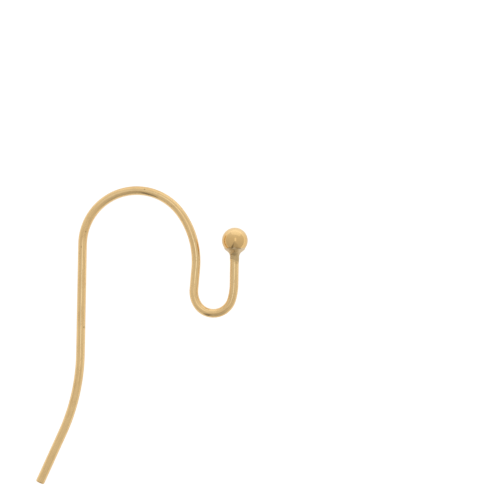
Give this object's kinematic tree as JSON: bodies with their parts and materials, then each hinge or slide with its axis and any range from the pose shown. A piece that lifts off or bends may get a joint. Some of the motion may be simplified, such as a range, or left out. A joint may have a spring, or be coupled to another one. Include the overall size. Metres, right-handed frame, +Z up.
{
  "type": "ball-end ear wire",
  "caption": "Fish-hook ear wire bent from one round wire, with a charm loop and a soldered ball at its front end, lying flat.",
  "frame": {"origin": "centre of the resting hook's box, on the surface that it lies on", "axes": "+Y along the shank towards the crown, +X from the shank towards the ball end, +Z up from the surface"},
  "size_m": [0.0164, 0.0238, 0.002],
  "materials": {
    "gold": "bright drawn wire, dull at the solder"
  },
  "bodies": {
    "root": {"ear_wire": "gold"}
  },
  "joints": []
}
